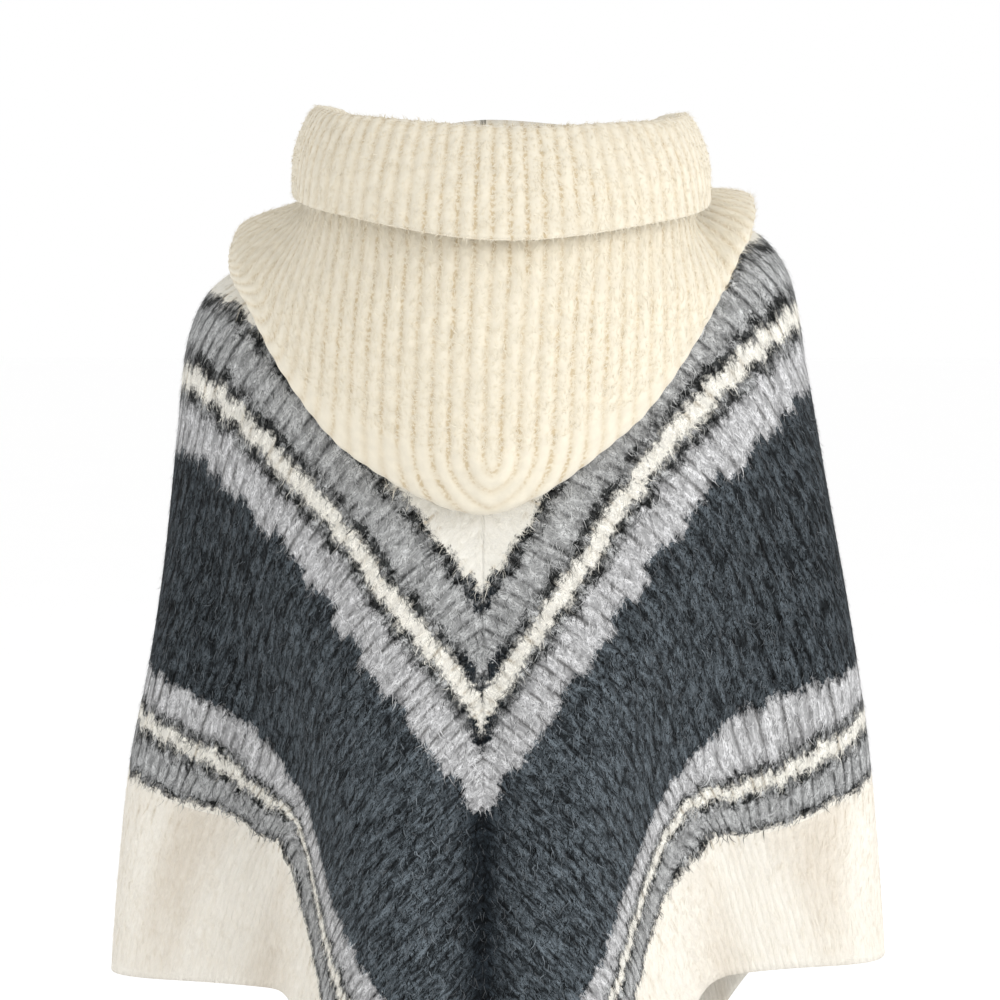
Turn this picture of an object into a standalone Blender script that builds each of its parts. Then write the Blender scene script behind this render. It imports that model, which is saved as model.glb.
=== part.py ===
"""Hooded poncho as worn, seen from behind in the photo. Lengths in metres.

+Y is the way the wearer faces, +X is right in the photo and +Z is up. The origin
is the middle of the neck base, where the shoulders carry the cloth.

The body is two striped panels sewn at centre back and centre front. Each panel is
a strip whose upper edge is the neck edge, mitred at both ends. A strip laid over
the shoulder is close to a cone: a point of the cloth has its distance w from the
neck edge and its place s along the strip, and these give an angle psi and a radius
R on the flat cone. The drape turns every R into one ring round the body.
"""

import bpy
import numpy as np

MM = 0.001
WALL = 4.0 * MM
SEAM_HALF_GAP = 0.3 * MM

# Cut of one panel
MITRE = np.radians(37.5)
NECK_HALF = 0.170
CONE = NECK_HALF * np.tan(MITRE)
PSI_END = np.pi / 2 - MITRE
BAND_WIDTHS = (
    ("yoke", 130), ("black", 6), ("mid grey", 27), ("black", 7), ("white", 13),
    ("black", 7), ("light grey", 28), ("charcoal", 132), ("light grey", 20),
    ("black", 5), ("white", 10), ("black", 5), ("mid grey", 21), ("black", 5),
    ("cream", 135))
PANEL_DEPTH = sum(width for name, width in BAND_WIDTHS) * MM

# Rings of the drape. fold is 0 for a plain oval and 1 for four full flutes, lean is
# the rise of the right shoulder, turn is how far forward the panel's fold line lies.
RING_COLUMNS = ("radius", "left_reach", "right_reach", "side_z", "back_reach", "back_z",
                "front_reach", "front_z", "fold", "lean", "left_turn", "right_turn")
RINGS = np.array((
    (0.100, 0.050, 0.050, 0.032, 0.064, 0.020, 0.062, 0.014, 0.00, 0.100, 12, 12),
    (0.130, 0.078, 0.078, 0.030, 0.073, 0.010, 0.070, 0.002, 0.00, 0.100, 12, 12),
    (0.210, 0.152, 0.152, 0.020, 0.092, -0.022, 0.088, -0.035, 0.00, 0.100, 12, 12),
    (0.266, 0.202, 0.204, -0.004, 0.130, -0.066, 0.122, -0.078, 0.00, 0.100, 12, 12),
    (0.300, 0.219, 0.227, -0.040, 0.142, -0.100, 0.138, -0.110, 0.00, 0.100, 12, 13),
    (0.353, 0.227, 0.239, -0.108, 0.153, -0.155, 0.150, -0.165, 0.12, 0.100, 12, 15),
    (0.427, 0.237, 0.256, -0.204, 0.165, -0.234, 0.158, -0.242, 0.42, 0.085, 13, 18),
    (0.483, 0.247, 0.270, -0.276, 0.176, -0.292, 0.164, -0.300, 0.68, 0.060, 14, 18),
    (0.562, 0.265, 0.286, -0.375, 0.187, -0.374, 0.170, -0.382, 0.92, 0.030, 13, 16),
    (0.683, 0.278, 0.298, -0.510, 0.200, -0.497, 0.178, -0.505, 1.00, 0.020, 13, 12),
    (0.785, 0.285, 0.305, -0.620, 0.208, -0.600, 0.188, -0.608, 1.00, 0.020, 13, 12),
    (1.120, 0.298, 0.318, -0.950, 0.235, -0.932, 0.220, -0.940, 1.00, 0.020, 13, 12)))

# Half width of the middle flute, half depth of the side flute, sharpness between them
FLUTES = {"left": (0.124, 0.064, 5.0), "right": (0.122, 0.075, 4.0)}
OVAL_POWER = 2.3
MIDDLE_POWER = 2.8
SIDE_POWER = 2.5
SEAM_VALLEY = 22.0 * MM
WING_VALLEY = 12.0 * MM
WING_VALLEY_ANGLE = np.radians(72)
HEM_RISES = {"back": 85.0 * MM, "left front": 85.0 * MM, "right front": -30.0 * MM}
HEM_RISE_ANGLE = np.radians(66)
HEM_RISE_SPREAD = 0.22

# Hood sections, by angle from centre back. tip is the body radius under the hood's
# lowest point, belly its widest point, mouth the opening edge under the brim, nape
# the fold that stands at the neck, brim_low the free edge of the turned-back band.
HOOD_COLUMNS = ("angle", "tip", "belly_reach", "belly_z", "mouth_reach", "mouth_z",
                "nape_z", "brim_low_reach", "brim_low_z")
HOOD_SECTIONS = np.array((
    (0.0, 0.364, 0.222, -0.070, 0.196, 0.076, 0.096, 0.236, 0.008),
    (30.0, 0.338, 0.215, -0.052, 0.186, 0.083, 0.092, 0.218, 0.024),
    (60.0, 0.268, 0.195, -0.010, 0.147, 0.095, 0.084, 0.167, 0.044),
    (90.0, 0.228, 0.184, 0.026, 0.119, 0.099, 0.076, 0.133, 0.059),
    (120.0, 0.222, 0.158, 0.022, 0.110, 0.080, 0.060, 0.126, 0.042),
    (150.0, 0.228, 0.138, -0.002, 0.103, 0.052, 0.036, 0.122, 0.016),
    (180.0, 0.240, 0.130, -0.020, 0.102, 0.032, 0.020, 0.122, 0.002)))
HOOD_SHIFT = 0.0130
BELLY_LEAN = 0.03
BRIM_LEAN = -0.02
NAPE_LEAN = 0.05
NAPE_WIDTH = 14.0 * MM
NECK_SEAM = 0.6 * MM
TIP_RADIUS = 9.0 * MM
SIDE_TIP_CUT = 4.0 * MM
BELLY_OVERHANG = 2.0 * MM
BRIM_STAND = 9.0 * MM
BAND_SEAM = 0.6 * MM
HOOD_END = np.radians(176)
BRIM_END = np.radians(175)
UNDERSIDE_GAP = 4.8 * MM
RIBS = 80
RIB_HEIGHT = 1.6 * MM

PANEL_COLUMNS = 32
PANEL_ROWS = 17
COLUMNS_ROUND = 2 * RIBS
HOOD_PLACES = (0, 1.5, 2, 2.6, 4, 5, 6, 7, 8, 8.6, 9.3, 10, 11)
BRIM_PLACES = (0, 1, 2, 3, 4, 5)


def monotone(xs, ys, x):
    """Shape-keeping cubic through the points (xs, ys), straight beyond the ends."""
    xs, ys, x = (np.asarray(v, float) for v in (xs, ys, x))
    step, rise = np.diff(xs), np.diff(ys)
    slope = rise / step
    tangent = np.zeros(len(xs))
    inner = slope[:-1] * slope[1:] > 0
    before, after = 2 * step[1:] + step[:-1], step[1:] + 2 * step[:-1]
    with np.errstate(divide="ignore", invalid="ignore"):
        mean = (before + after) / (before / slope[:-1] + after / slope[1:])
    tangent[1:-1] = np.where(inner, mean, 0.0)
    tangent[0], tangent[-1] = slope[0], slope[-1]
    i = np.clip(np.searchsorted(xs, x) - 1, 0, len(step) - 1)
    t = (x - xs[i]) / step[i]
    inside = np.clip(t, 0, 1)
    h = step[i]
    value = (ys[i] * (1 + 2 * inside) * (1 - inside) ** 2
             + ys[i + 1] * inside ** 2 * (3 - 2 * inside)
             + tangent[i] * h * inside * (1 - inside) ** 2
             + tangent[i + 1] * h * inside ** 2 * (inside - 1))
    return value + (t - inside) * h * np.where(t > 1, tangent[i + 1], tangent[i])


def ring_value(name, radius):
    return monotone(RINGS[:, 0], RINGS[:, RING_COLUMNS.index(name)], radius)


def oval(sine, cosine, reach, depth, power):
    return (np.abs(sine / reach) ** power + np.abs(cosine / depth) ** power) ** (-1 / power)


def body_point(angle, radius):
    """Point of the cloth's outer face; angle is 0 at centre back, positive to +X."""
    angle, radius = np.broadcast_arrays(np.asarray(angle, float), np.asarray(radius, float))
    sine, cosine = np.sin(angle), np.cos(angle)
    right = sine > 0
    back = cosine > 0
    reach = np.where(right, ring_value("right_reach", radius), ring_value("left_reach", radius))
    depth = np.where(back, ring_value("back_reach", radius), ring_value("front_reach", radius))
    level = np.where(back, ring_value("back_z", radius), ring_value("front_z", radius))
    plain = oval(sine, cosine, reach, depth, OVAL_POWER)
    fluted = np.zeros_like(plain)
    to_right = 1 / (1 + np.exp(-sine / 0.08))
    for side, share in (("right", to_right), ("left", 1 - to_right)):
        half_width, half_depth, sharpness = FLUTES[side]
        middle = oval(sine, cosine, half_width, depth, MIDDLE_POWER)
        wing = oval(sine, cosine, reach, half_depth, SIDE_POWER)
        fluted += share * (middle ** sharpness + wing ** sharpness) ** (1 / sharpness)
    fold = ring_value("fold", radius)
    from_centre = np.abs(np.arctan2(sine, np.abs(cosine)))
    valley = (SEAM_VALLEY * np.exp(-(from_centre / 0.20) ** 2)
              + WING_VALLEY * np.exp(-((from_centre - WING_VALLEY_ANGLE) / 0.10) ** 2))
    out = plain * (1 - fold) + fluted * fold - valley * fold
    sideways = np.abs(sine) ** 1.6
    x = out * sine
    z = ring_value("side_z", radius) * sideways + level * (1 - sideways)
    z = z + ring_value("lean", radius) * x
    low = np.clip((radius - 0.56) / 0.12, 0, 1)
    to_back = 1 / (1 + np.exp(-cosine / 0.08))
    front = to_right * HEM_RISES["right front"] + (1 - to_right) * HEM_RISES["left front"]
    rise = to_back * HEM_RISES["back"] + (1 - to_back) * front
    z = z + rise * low * np.exp(-((from_centre - HEM_RISE_ANGLE) / HEM_RISE_SPREAD) ** 2)
    return np.stack([x, -out * cosine, z], axis=-1)


class Drape:
    """Lays one panel's cloth round the rings by length along them."""

    def __init__(self, side):
        self.sign = 1 if side == "right" else -1
        self.turn = side + "_turn"
        self.radii = np.linspace(0.10, 1.12, 103)
        self.angles = np.linspace(0, np.pi, 721)
        rings = body_point(self.sign * self.angles[None, :], self.radii[:, None])
        steps = np.linalg.norm(np.diff(rings, axis=1), axis=2)
        self.lengths = np.concatenate(
            [np.zeros((len(self.radii), 1)), np.cumsum(steps, axis=1)], axis=1)

    def angle_on_ring(self, row, psi, turn):
        """Ring angle for cone angle psi, which is -PSI_END at centre back."""
        lengths, radius = self.lengths[row], self.radii[row]
        half = (len(self.angles) - 1) // 2
        to_side, whole = lengths[half], lengths[-1]
        flat_back, flat_front = PSI_END - turn, PSI_END + turn
        from_back = np.clip((PSI_END + psi) / flat_back, 0, 1)
        from_front = np.clip((PSI_END - psi) / flat_front, 0, 1)
        ease_back = np.maximum(0, 0.95 * radius * flat_back / to_side - 1)
        ease_front = np.maximum(0, 0.95 * radius * flat_front / (whole - to_side) - 1)
        along_back = to_side * (from_back + ease_back * from_back * (1 - from_back) ** 2)
        along_front = whole - (whole - to_side) * (
            from_front + ease_front * from_front * (1 - from_front) ** 2)
        along = np.where(psi <= -turn, along_back, along_front)
        return np.interp(along, lengths, self.angles)

    def angle(self, psi, radius):
        """Ring angle, blended between the two tabled rings next to the radius."""
        step = self.radii[1] - self.radii[0]
        place = (radius - self.radii[0]) / step
        low = np.clip(place.astype(int), 0, len(self.radii) - 2)
        turn = np.radians(ring_value(self.turn, radius))
        angle = np.zeros_like(radius)
        for row in np.unique(low):
            here = low == row
            share = (place - low)[here]
            angle[here] = ((1 - share) * self.angle_on_ring(row, psi[here], turn[here])
                           + share * self.angle_on_ring(row + 1, psi[here], turn[here]))
        return self.sign * angle

    def cloth(self, depth, along):
        """Outer face at depth w below the neck edge, along = -1 back to +1 front."""
        across = along * (NECK_HALF + depth / np.tan(MITRE))
        radius = np.hypot(across, depth + CONE)
        psi = np.arctan2(across, depth + CONE)
        return body_point(self.angle(psi, radius), radius)


def open_surface(name, grid, outward):
    """Mesh of a grid of points; outward is a point's row, column and outer direction."""
    rows, columns = grid.shape[:2]
    index = np.arange(rows * columns).reshape(rows, columns)
    corners = np.stack([index[:-1, :-1], index[1:, :-1], index[1:, 1:], index[:-1, 1:]], axis=-1)
    row, column, direction = outward
    down = grid[row + 1, column] - grid[row, column]
    across = grid[row, column + 1] - grid[row, column]
    faces = corners.reshape(-1, 4)
    if np.dot(np.cross(down, across), direction) < 0:
        faces = faces[:, ::-1]
    mesh = bpy.data.meshes.new(name)
    mesh.from_pydata(grid.reshape(-1, 3).tolist(), [], faces.tolist())
    mesh.update()
    mesh.shade_smooth()
    return bpy.data.objects.new(name, mesh)


def thicken(piece, thickness, offset):
    wall = piece.modifiers.new("Wall", "SOLIDIFY")
    wall.thickness = thickness
    wall.offset = offset
    wall.use_quality_normals = True
    return wall


def panel(side):
    """One striped panel: its outer face, thickened inward."""
    drape = Drape(side)
    along, depth = np.meshgrid(np.linspace(-1, 1, PANEL_COLUMNS + 1),
                               np.linspace(0, PANEL_DEPTH, PANEL_ROWS + 1))
    outer = drape.cloth(depth, along)
    outer[:, (0, -1), 0] = drape.sign * SEAM_HALF_GAP
    middle = (PANEL_ROWS // 2, PANEL_COLUMNS // 2)
    piece = open_surface("body_" + side, outer, middle + ((drape.sign, 0, 0),))
    thicken(piece, WALL, -1)
    return piece


def panel_neck_edge(side):
    """Corner points of one panel's neck edge, from centre back to centre front."""
    drape = Drape(side)
    edge = drape.cloth(np.zeros(PANEL_COLUMNS + 1), np.linspace(-1, 1, PANEL_COLUMNS + 1))
    edge[(0, -1), 0] = drape.sign * SEAM_HALF_GAP
    return edge


NECK_EDGES = {side: panel_neck_edge(side) for side in ("left", "right")}


def neck_edge(angle):
    """Reach and height where the plane at this angle crosses the body's neck edge."""
    edge = NECK_EDGES["right" if angle > 0 else "left"]
    turn = np.abs(np.arctan2(edge[:, 0], -edge[:, 1]))
    k = int(np.clip(np.searchsorted(turn, abs(angle)) - 1, 0, len(edge) - 2))
    a, b = edge[k], edge[k + 1]
    across = np.array([np.cos(angle), np.sin(angle), 0])
    share = np.clip(np.dot(a, across) / np.dot(a - b, across), 0, 1)
    point = a + share * (b - a)
    return np.hypot(point[0], point[1]), point[2]


def hood_value(name, angle):
    """Table value at this angle; the mirrored rows keep it smooth at back and front."""
    angles = np.concatenate([[-30.0], HOOD_SECTIONS[:, 0], [210.0]])
    values = HOOD_SECTIONS[:, HOOD_COLUMNS.index(name)]
    values = np.concatenate([[values[1]], values, [values[-2]]])
    return float(monotone(angles, values, np.degrees(abs(angle))))


def hood_point(name, lean, angle):
    """Reach and height of one named point of the section, raised by the lean to +X."""
    reach = hood_value(name + "_reach", angle)
    return np.array([reach, hood_value(name + "_z", angle) + lean * reach * np.sin(angle)])


def body_profile(angle, radii, offset):
    """The body's outer face in the plane at this angle, lifted along its normal."""
    points = body_point(np.full(len(radii), angle), radii)
    profile = np.stack([np.hypot(points[:, 0], points[:, 1]), points[:, 2]], axis=1)
    along = np.gradient(profile, axis=0)
    along /= np.linalg.norm(along, axis=1, keepdims=True)
    return profile + offset * np.stack([-along[:, 1], along[:, 0]], axis=1)


def smooth_path(points, places):
    """Rounded path through points, read at places counted in points from the first."""
    points = np.asarray(points, float)
    padded = np.vstack([2 * points[0] - points[1], points, 2 * points[-1] - points[-2]])
    knots = np.concatenate([[0], np.cumsum(np.sqrt(
        np.linalg.norm(np.diff(padded, axis=0), axis=1)))])
    path = []
    for place in places:
        k = min(int(place), len(points) - 2)
        t = place - k
        a, b, c, d = padded[k:k + 4]
        before, span, after = np.diff(knots[k:k + 4])
        start = ((b - a) / before - (c - a) / (before + span)) * span + (c - b)
        end = ((d - c) / after - (d - b) / (span + after)) * span + (c - b)
        path.append(b * (2 * t ** 3 - 3 * t ** 2 + 1) + start * (t ** 3 - 2 * t ** 2 + t)
                    + c * (3 * t ** 2 - 2 * t ** 3) + end * (t ** 3 - t ** 2))
    return np.array(path)


def hood_layout(angle):
    """Named points of the hood's section in the plane at this angle."""
    first = float(np.interp(abs(np.degrees(angle)), (0, 60, 90, 120, 180),
                            (0.250, 0.215, 0.185, 0.195, 0.228)))
    under = body_profile(angle, np.linspace(first, hood_value("tip", angle), 4),
                         UNDERSIDE_GAP + WALL)
    outward = under[-1] - under[-2]
    outward /= np.linalg.norm(outward)
    normal = np.array([-outward[1], outward[0]])
    tip_radius = TIP_RADIUS - SIDE_TIP_CUT * np.sin(angle) ** 2
    turn = under[-1] + (outward + normal) * tip_radius
    belly = hood_point("belly", BELLY_LEAN, angle)
    belly[0] = max(belly[0], turn[0] + BELLY_OVERHANG)
    belly[1] = max(belly[1], turn[1] + tip_radius)
    mouth = hood_point("mouth", BRIM_LEAN, angle)
    low = hood_point("brim_low", BRIM_LEAN, angle)
    waist = low - (15 * MM, BRIM_STAND)
    waist[1] = max(waist[1], np.interp(waist[0], under[:, 0], under[:, 1]) + WALL)
    low[1] = max(low[1], waist[1] + BRIM_STAND)
    return {"under": under, "turn": turn, "belly": belly, "waist": waist, "mouth": mouth,
            "low": low}


def hood_section(angle, places):
    """Inner face of the hood: neck edge, nape fold, underside, tip, face, mouth."""
    reach, z = neck_edge(angle)
    at = hood_layout(angle)
    waist, mouth = at["waist"], at["mouth"]
    nape = np.array([reach + NAPE_WIDTH / 2,
                     hood_value("nape_z", angle) + NAPE_LEAN * reach * np.sin(angle)])
    rise = (mouth - waist) / np.linalg.norm(mouth - waist)
    points = [(reach, z + NECK_SEAM), (reach, nape[1] - 12 * MM), nape,
              (reach + NAPE_WIDTH, nape[1] - 12 * MM), *at["under"], at["turn"], at["belly"],
              waist, mouth - rise * 5 * MM]
    return smooth_path(points, places)


def brim_section(angle, places):
    """Inner face of the turned-back band: inside lip, top fold, free lower edge."""
    at = hood_layout(angle)
    mouth, low = at["mouth"], at["low"]
    rise = (mouth - at["waist"]) / np.linalg.norm(mouth - at["waist"])
    inward = np.array([-rise[1], rise[0]])
    points = [mouth - rise * 16 * MM + inward * BAND_SEAM,
              mouth - rise * 1 * MM + inward * 2.5 * MM,
              mouth + rise * 5 * MM - inward * 3 * MM,
              mouth - rise * 4 * MM - inward * 9 * MM,
              (mouth + low) / 2 - inward * 8 * MM, low]
    return smooth_path(points, places)


def column_angles(end):
    """Angles of the columns, at even lengths round the brim."""
    fine = np.linspace(-end, end, 361)
    reach = np.array([hood_value("brim_low_reach", angle) for angle in fine])
    x, y = reach * np.sin(fine), reach * np.cos(fine)
    length = np.concatenate([[0], np.cumsum(np.hypot(np.diff(x), np.diff(y)))])
    return np.interp(np.linspace(0, length[-1], COLUMNS_ROUND + 1), length, fine)


def loft(section, end, places, shifted_from):
    """Grid of a section carried round the neck; places past one move with the mouth."""
    shift = HOOD_SHIFT * np.clip((np.array(places) - shifted_from) / 3, 0, 1)
    angles = column_angles(end)
    grid = np.zeros((len(places), len(angles), 3))
    for c, angle in enumerate(angles):
        path = section(angle, places)
        grid[:, c, 0] = path[:, 0] * np.sin(angle) + shift
        grid[:, c, 1] = -path[:, 0] * np.cos(angle)
        grid[:, c, 2] = path[:, 1]
    return grid


def ribbed_ring(name, section, end, places, ribbed_from, shifted_from):
    """A wall round the neck, plain inside; every second column is a raised rib."""
    grid = loft(section, end, places, shifted_from)
    rows = len(places)
    back = COLUMNS_ROUND // 2
    piece = open_surface(name, grid, (rows - 2, back, (0, -1, 0)))
    wall = thicken(piece, WALL + RIB_HEIGHT, 1)
    crests = piece.vertex_groups.new(name="Rib crests")
    rise = np.clip(np.array(places) - ribbed_from, 0, 1)
    for row in range(rows):
        for column in range(1, grid.shape[1], 2):
            crests.add([row * grid.shape[1] + column], float(rise[row]), "REPLACE")
    wall.vertex_group = crests.name
    wall.thickness_vertex_group = WALL / (WALL + RIB_HEIGHT)
    return piece


def main():
    for old in list(bpy.data.objects):
        bpy.data.objects.remove(old, do_unlink=True)
    collection = bpy.data.collections.new("hooded_poncho")
    bpy.context.scene.collection.children.link(collection)
    pieces = (
        (panel("left"), (0.045, 0.055, 0.065)),
        (panel("right"), (0.050, 0.060, 0.070)),
        (ribbed_ring("hood", hood_section, HOOD_END, HOOD_PLACES, 7.0, 7.0), (0.78, 0.72, 0.60)),
        (ribbed_ring("hood_brim", brim_section, BRIM_END, BRIM_PLACES, 1.0, -3.0),
         (0.82, 0.76, 0.64)))
    for piece, colour in pieces:
        material = bpy.data.materials.new(piece.name)
        material.use_nodes = True
        shader = material.node_tree.nodes["Principled BSDF"]
        shader.inputs["Base Color"].default_value = colour + (1.0,)
        shader.inputs["Roughness"].default_value = 0.9
        shader.inputs["Metallic"].default_value = 0.0
        piece.data.materials.append(material)
        collection.objects.link(piece)


main()
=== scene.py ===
"""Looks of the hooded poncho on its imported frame. Lengths in metres.

+Y is the way the wearer faces, +X is right in the photo's back view and +Z is up. The
cloths repeat the drape of the part's source on finer grids. Each keeps the place of
every point on its flat cut in the UV map "Cut", so that stripes, ribs and brushed
fibres lie in the cloth and follow its drape.
"""

import bpy
import numpy as np
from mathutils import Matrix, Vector


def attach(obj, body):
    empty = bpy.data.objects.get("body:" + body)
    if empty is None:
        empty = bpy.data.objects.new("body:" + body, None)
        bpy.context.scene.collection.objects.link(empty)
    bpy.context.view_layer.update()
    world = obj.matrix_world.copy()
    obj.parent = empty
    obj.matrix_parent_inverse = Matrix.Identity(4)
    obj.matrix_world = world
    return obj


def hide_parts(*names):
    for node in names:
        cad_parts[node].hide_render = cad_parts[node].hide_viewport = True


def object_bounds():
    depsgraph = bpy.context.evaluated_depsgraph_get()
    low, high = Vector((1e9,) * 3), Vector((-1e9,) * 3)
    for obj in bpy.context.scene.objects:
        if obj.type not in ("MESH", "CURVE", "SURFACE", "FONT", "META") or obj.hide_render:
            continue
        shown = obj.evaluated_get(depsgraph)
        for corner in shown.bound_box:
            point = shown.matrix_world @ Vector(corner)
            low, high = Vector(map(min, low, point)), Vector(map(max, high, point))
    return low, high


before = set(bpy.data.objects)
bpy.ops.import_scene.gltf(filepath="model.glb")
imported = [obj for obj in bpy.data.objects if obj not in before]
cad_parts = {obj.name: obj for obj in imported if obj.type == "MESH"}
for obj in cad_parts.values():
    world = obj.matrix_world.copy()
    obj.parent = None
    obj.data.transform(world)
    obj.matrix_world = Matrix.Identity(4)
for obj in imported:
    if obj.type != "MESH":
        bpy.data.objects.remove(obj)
CAD_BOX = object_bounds()

bl_info = {
    "name": "Hooded poncho",
    "version": (1, 0, 0),
    "blender": (4, 5, 0),
    "location": "View3D > Sidebar > Poncho",
    "description": "Striped knit panels, ribbed hood and brushed nap of a hooded poncho",
    "category": "Object",
}

MM = 0.001
WALL = 4.0 * MM
SEAM_HALF_GAP = 0.3 * MM

# Cut of one panel
MITRE = np.radians(37.5)
NECK_HALF = 0.170
CONE = NECK_HALF * np.tan(MITRE)
PSI_END = np.pi / 2 - MITRE
# Bands from the neck edge down, with their depth in mm
BANDS = (
    ("white", 128), ("black", 10), ("mid_grey", 23), ("black", 10), ("white", 12),
    ("black", 10), ("light_grey", 25), ("charcoal", 132), ("light_grey", 18),
    ("black", 7), ("white", 9), ("black", 8), ("mid_grey", 17), ("black", 7),
    ("hem_cream", 135))
BAND_ENDS = np.cumsum([width for name, width in BANDS]).tolist()
YOKE_DEPTH, CHARCOAL_START, HEM_START, PANEL_DEPTH = (
    BAND_ENDS[band] * MM for band in (0, 6, 13, 14))

# Knit that is pulled along the cloth by its drape, in mm: pairs of the place along the
# panel, from -1 at centre back to 1 at centre front, and the pull at one line of the cut
STRIPE_PULL = {
    "left": {
        "upper": ((-1, -2), (-0.73, 0), (-0.60, 5), (-0.50, 8), (-0.42, 11), (-0.36, 12),
                  (-0.30, 9), (-0.25, 5), (-0.19, -2), (-0.1, -4), (0.1, 0)),
        "top": ((-1, 0), (-0.85, 3), (-0.75, -2), (-0.64, -8), (-0.55, -5), (-0.48, 0),
                (-0.40, 7), (-0.33, 9), (-0.15, 4), (0.1, 0)),
        "bottom": ((-0.75, 0), (-0.62, -4), (-0.56, -22), (-0.49, -54), (-0.46, -62),
                   (-0.43, -56), (-0.40, -34), (-0.375, -10), (-0.35, 2), (-0.24, 5),
                   (-0.1, 0))},
    "right": {
        "upper": ((-1, 0), (-0.93, 2), (-0.83, 8), (-0.73, 12), (-0.63, 15), (-0.54, 17),
                  (-0.46, 15), (-0.38, 13), (-0.33, 11), (-0.28, 7), (-0.22, 1), (-0.15, -2),
                  (0.1, 0)),
        "top": ((-1, 0), (-0.75, 0), (-0.68, 8), (-0.60, 11), (-0.54, 15), (-0.48, 22),
                (-0.43, 17), (-0.34, 7), (-0.28, -2), (-0.1, 0)),
        "bottom": ((-1, 0), (-0.80, 0), (-0.66, 15), (-0.60, 16), (-0.54, 0), (-0.49, -34),
                   (-0.45, -54), (-0.42, -56), (-0.38, -38), (-0.34, -21), (-0.29, -6),
                   (-0.1, 0))}}

# Rings of the drape. fold is 0 for a plain oval and 1 for four full flutes, lean is
# the rise of the right shoulder, turn is how far forward the panel's fold line lies.
RING_COLUMNS = ("radius", "left_reach", "right_reach", "side_z", "back_reach", "back_z",
                "front_reach", "front_z", "fold", "lean", "left_turn", "right_turn")
RINGS = np.array((
    (0.100, 0.050, 0.050, 0.032, 0.064, 0.020, 0.062, 0.014, 0.00, 0.100, 12, 12),
    (0.130, 0.078, 0.078, 0.030, 0.073, 0.010, 0.070, 0.002, 0.00, 0.100, 12, 12),
    (0.210, 0.152, 0.152, 0.020, 0.092, -0.022, 0.088, -0.035, 0.00, 0.100, 12, 12),
    (0.266, 0.202, 0.204, -0.004, 0.130, -0.066, 0.122, -0.078, 0.00, 0.100, 12, 12),
    (0.300, 0.219, 0.227, -0.040, 0.142, -0.100, 0.138, -0.110, 0.00, 0.100, 12, 13),
    (0.353, 0.227, 0.239, -0.108, 0.153, -0.155, 0.150, -0.165, 0.12, 0.100, 12, 15),
    (0.427, 0.237, 0.256, -0.204, 0.165, -0.234, 0.158, -0.242, 0.42, 0.085, 13, 18),
    (0.483, 0.247, 0.270, -0.276, 0.176, -0.292, 0.164, -0.300, 0.68, 0.060, 14, 18),
    (0.562, 0.265, 0.286, -0.375, 0.187, -0.374, 0.170, -0.382, 0.92, 0.030, 13, 16),
    (0.683, 0.278, 0.298, -0.510, 0.200, -0.497, 0.178, -0.505, 1.00, 0.020, 13, 12),
    (0.785, 0.285, 0.305, -0.620, 0.208, -0.600, 0.188, -0.608, 1.00, 0.020, 13, 12),
    (1.120, 0.298, 0.318, -0.950, 0.235, -0.932, 0.220, -0.940, 1.00, 0.020, 13, 12)))

# Half width of the middle flute, half depth of the side flute, sharpness between them
FLUTES = {"left": (0.124, 0.064, 5.0), "right": (0.122, 0.075, 4.0)}
OVAL_POWER = 2.3
MIDDLE_POWER = 2.8
SIDE_POWER = 2.5
SHOULDER_POWER = 1.6
SIDE_BLEND = 0.08
SEAM_VALLEY = 22.0 * MM
SEAM_VALLEY_SPREAD = 0.20
WING_VALLEY = 12.0 * MM
WING_VALLEY_ANGLE = np.radians(72)
WING_VALLEY_SPREAD = 0.10
HEM_RISES = {"back": 85.0 * MM, "left front": 85.0 * MM, "right front": -30.0 * MM}
HEM_RISE_ANGLE = np.radians(66)
HEM_RISE_SPREAD = 0.22
HEM_RISE_RADII = (0.56, 0.68)

# Tabled rings, points round half a ring, and the share of its cut that a ring takes up
TABLED_RADII = np.linspace(0.10, 1.12, 103)
TABLED_ANGLES = np.linspace(0, np.pi, 721)
TAKEN_UP = 0.95

# Hood sections, by angle from centre back. tip is the body radius under the hood's
# lowest point, belly its widest point, mouth the opening edge under the brim, nape
# the fold that stands at the neck, brim_low the free edge of the turned-back band.
HOOD_COLUMNS = ("angle", "tip", "belly_reach", "belly_z", "mouth_reach", "mouth_z",
                "nape_z", "brim_low_reach", "brim_low_z")
HOOD_SECTIONS = np.array((
    (0.0, 0.364, 0.222, -0.070, 0.196, 0.076, 0.096, 0.236, 0.008),
    (30.0, 0.338, 0.215, -0.052, 0.186, 0.083, 0.092, 0.218, 0.024),
    (60.0, 0.268, 0.195, -0.010, 0.147, 0.095, 0.084, 0.167, 0.044),
    (90.0, 0.228, 0.184, 0.026, 0.119, 0.099, 0.076, 0.133, 0.059),
    (120.0, 0.222, 0.158, 0.022, 0.110, 0.080, 0.060, 0.126, 0.042),
    (150.0, 0.228, 0.138, -0.002, 0.103, 0.052, 0.036, 0.122, 0.016),
    (180.0, 0.240, 0.130, -0.020, 0.102, 0.032, 0.020, 0.122, 0.002)))
HOOD_SHIFT = 0.0130
BELLY_LEAN = 0.03
BRIM_LEAN = -0.02
NAPE_LEAN = 0.05
NAPE_WIDTH = 14.0 * MM
NAPE_SHOULDER = 12.0 * MM
NECK_SEAM = 0.6 * MM
NECK_POINTS = 33
TIP_RADIUS = 9.0 * MM
SIDE_TIP_CUT = 4.0 * MM
BELLY_OVERHANG = 2.0 * MM
BRIM_STAND = 9.0 * MM
WAIST_STEP = 15.0 * MM
MOUTH_CUT = 5.0 * MM
HOOD_END = np.radians(176)
BRIM_END = np.radians(175)
UNDERSIDE_GAP = 4.8 * MM
FIRST_PLACE_OF_FACE = 7.0

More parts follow.
